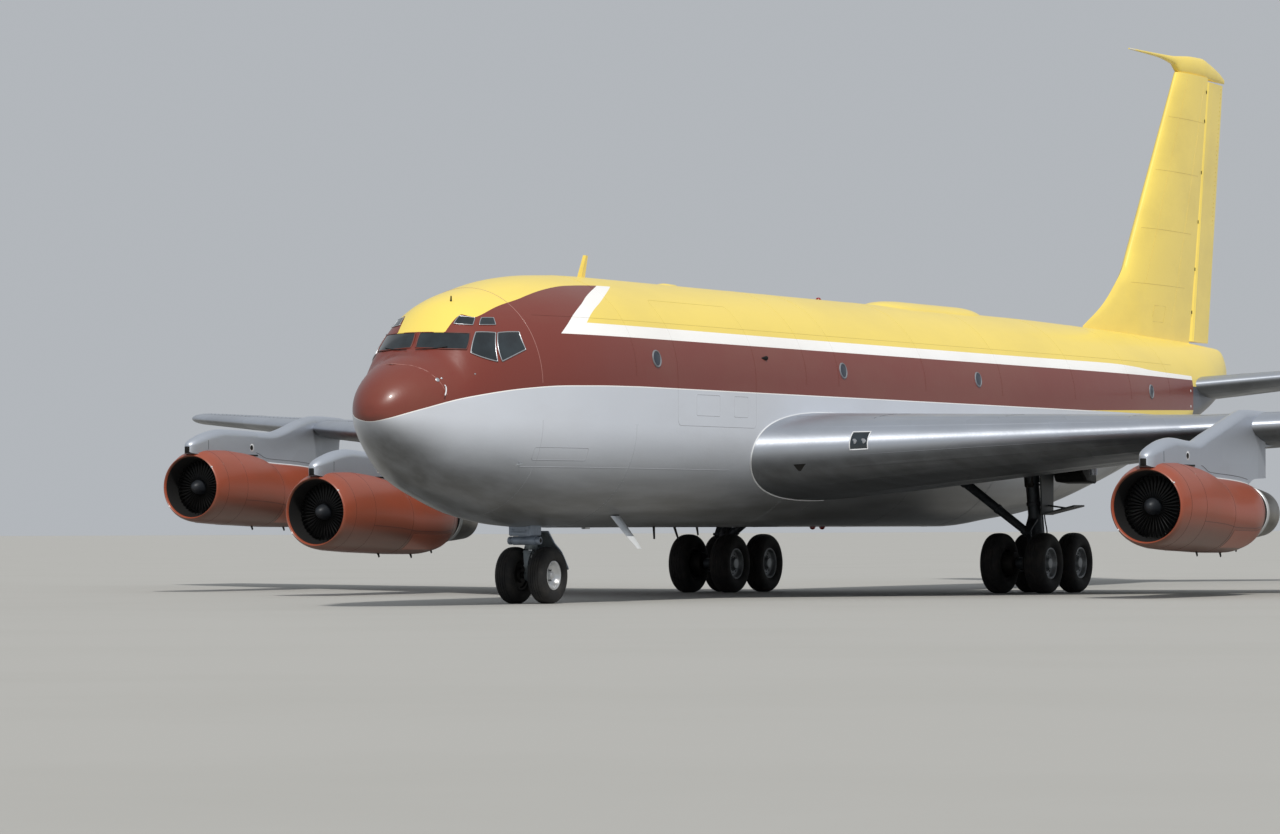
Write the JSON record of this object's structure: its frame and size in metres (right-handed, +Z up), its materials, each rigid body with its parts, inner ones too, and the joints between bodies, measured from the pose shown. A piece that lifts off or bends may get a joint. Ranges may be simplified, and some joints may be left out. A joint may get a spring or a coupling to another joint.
{
  "type": "four-engined narrow body jet airliner",
  "caption": "Swept wing narrow body jet airliner standing on its wheels, engines in pods on pylons under the wing, in a yellow, white and brown scheme.",
  "frame": {"origin": "on the ground, on the centre line, halfway between the nose tip and the stabiliser tips", "axes": "+X to port, +Y aft, +Z up; the nose points along -Y"},
  "size_m": [39.52, 38.96, 11.535],
  "materials": {
    "fuselage_paint": "gloss paint on aluminium skin",
    "fin_paint": "gloss yellow paint on aluminium skin",
    "antenna_paint": "gloss paint",
    "cowl_paint": "satin red brown paint",
    "bare_skin": "bare rolled aluminium skin",
    "glazing": "laminated windshield glass",
    "hot_metal": "heat tinted steel",
    "rotor_metal": "dark machined metal",
    "tyre_rubber": "black rubber",
    "wheel_metal": "cast wheel, silver paint",
    "gear_metal": "grey enamel on forged steel",
    "door_metal": "grey paint"
  },
  "bodies": {
    "airframe": {"blade_antenna": "antenna_paint", "bogie_left": "gear_metal", "bogie_right": "gear_metal", "brace_left": "gear_metal", "brace_right": "gear_metal", "cockpit_windows": "glazing", "engine_1_core": "hot_metal", "engine_1_cowl": "cowl_paint", "engine_1_pylon": "bare_skin", "engine_2_core": "hot_metal", "engine_2_cowl": "cowl_paint", "engine_2_pylon": "bare_skin", "engine_3_core": "hot_metal", "engine_3_cowl": "cowl_paint", "engine_3_pylon": "bare_skin", "engine_4_core": "hot_metal", "engine_4_cowl": "cowl_paint", "engine_4_pylon": "bare_skin", "fin": "fin_paint", "flap_inboard_left": "bare_skin", "flap_inboard_right": "bare_skin", "flap_outboard_left": "bare_skin", "flap_outboard_right": "bare_skin", "fuselage": "fuselage_paint", "leg_door_left": "door_metal", "leg_door_right": "door_metal", "leg_left": "gear_metal", "leg_right": "gear_metal", "nose_leg": "gear_metal", "stabiliser_left": "bare_skin", "stabiliser_right": "bare_skin", "wing_left": "bare_skin", "wing_right": "bare_skin"},
    "nose_fork": {"nose_steering": "gear_metal", "nose_deflector": "door_metal"},
    "nose_wheels": {"nose_hubs": "wheel_metal", "nose_tyre_left": "tyre_rubber", "nose_tyre_right": "tyre_rubber"},
    "rudder": {"rudder": "fin_paint"},
    "left_front_wheels": {"front_hubs_left": "wheel_metal", "front_inner_tyre_left": "tyre_rubber", "front_outer_tyre_left": "tyre_rubber"},
    "left_rear_wheels": {"rear_hubs_left": "wheel_metal", "rear_inner_tyre_left": "tyre_rubber", "rear_outer_tyre_left": "tyre_rubber"},
    "left_aileron": {"aileron_left": "bare_skin"},
    "left_elevator": {"elevator_left": "bare_skin"},
    "right_front_wheels": {"front_hubs_right": "wheel_metal", "front_inner_tyre_right": "tyre_rubber", "front_outer_tyre_right": "tyre_rubber"},
    "right_rear_wheels": {"rear_hubs_right": "wheel_metal", "rear_inner_tyre_right": "tyre_rubber", "rear_outer_tyre_right": "tyre_rubber"},
    "right_aileron": {"aileron_right": "bare_skin"},
    "right_elevator": {"elevator_right": "bare_skin"},
    "rotor_1": {"engine_1_rotor": "rotor_metal"},
    "rotor_2": {"engine_2_rotor": "rotor_metal"},
    "rotor_3": {"engine_3_rotor": "rotor_metal"},
    "rotor_4": {"engine_4_rotor": "rotor_metal"}
  },
  "joints": [
    {"name": "nose_steer", "type": "hinge", "parent": "airframe", "child": "nose_fork", "pos_m": [0, -14.43, 0.9], "axis": [0, 0, 1], "range_deg": [-60, 60]},
    {"name": "nose_roll", "type": "hinge", "parent": "nose_fork", "child": "nose_wheels", "pos_m": [0, -14.43, 0.46097], "axis": [1, 0, 0], "continuous": true},
    {"name": "left_front_roll", "type": "hinge", "parent": "airframe", "child": "left_front_wheels", "pos_m": [3.229, -1.806, 0.5512], "axis": [1, 0, 0], "continuous": true},
    {"name": "left_rear_roll", "type": "hinge", "parent": "airframe", "child": "left_rear_wheels", "pos_m": [3.229, -0.394, 0.5512], "axis": [1, 0, 0], "continuous": true},
    {"name": "right_front_roll", "type": "hinge", "parent": "airframe", "child": "right_front_wheels", "pos_m": [-3.229, -1.806, 0.5512], "axis": [1, 0, 0], "continuous": true},
    {"name": "right_rear_roll", "type": "hinge", "parent": "airframe", "child": "right_rear_wheels", "pos_m": [-3.229, -0.394, 0.5512], "axis": [1, 0, 0], "continuous": true},
    {"name": "rotor_1_spin", "type": "hinge", "parent": "airframe", "child": "rotor_1", "pos_m": [13.8, -3.33, 2.085], "axis": [0, 1, 0], "continuous": true},
    {"name": "rotor_2_spin", "type": "hinge", "parent": "airframe", "child": "rotor_2", "pos_m": [8.18, -7.68, 1.555], "axis": [0, 1, 0], "continuous": true},
    {"name": "rotor_3_spin", "type": "hinge", "parent": "airframe", "child": "rotor_3", "pos_m": [-8.18, -7.68, 1.555], "axis": [0, 1, 0], "continuous": true},
    {"name": "rotor_4_spin", "type": "hinge", "parent": "airframe", "child": "rotor_4", "pos_m": [-13.8, -3.33, 2.085], "axis": [0, 1, 0], "continuous": true},
    {"name": "rudder_turn", "type": "hinge", "parent": "airframe", "child": "rudder", "pos_m": [0, 14.78, 5.245], "axis": [0, 0.2055, 0.9787], "range_deg": [-25, 25]},
    {"name": "left_elevator_turn", "type": "hinge", "parent": "airframe", "child": "left_elevator", "pos_m": [1.05, 16.15831, 4.2436], "axis": [0.8628, 0.4942, 0.107], "range_deg": [-15, 25]},
    {"name": "right_elevator_turn", "type": "hinge", "parent": "airframe", "child": "right_elevator", "pos_m": [-1.05, 16.15831, 4.2436], "axis": [0.8628, -0.4942, -0.107], "range_deg": [-15, 25]},
    {"name": "left_aileron_turn", "type": "hinge", "parent": "airframe", "child": "left_aileron", "pos_m": [13.9, 4.02379, 3.3041], "axis": [0.8583, 0.5098, 0.0582], "range_deg": [-20, 20]},
    {"name": "right_aileron_turn", "type": "hinge", "parent": "airframe", "child": "right_aileron", "pos_m": [-13.9, 4.02379, 3.3041], "axis": [0.8583, -0.5098, -0.0582], "range_deg": [-20, 20]}
  ]
}
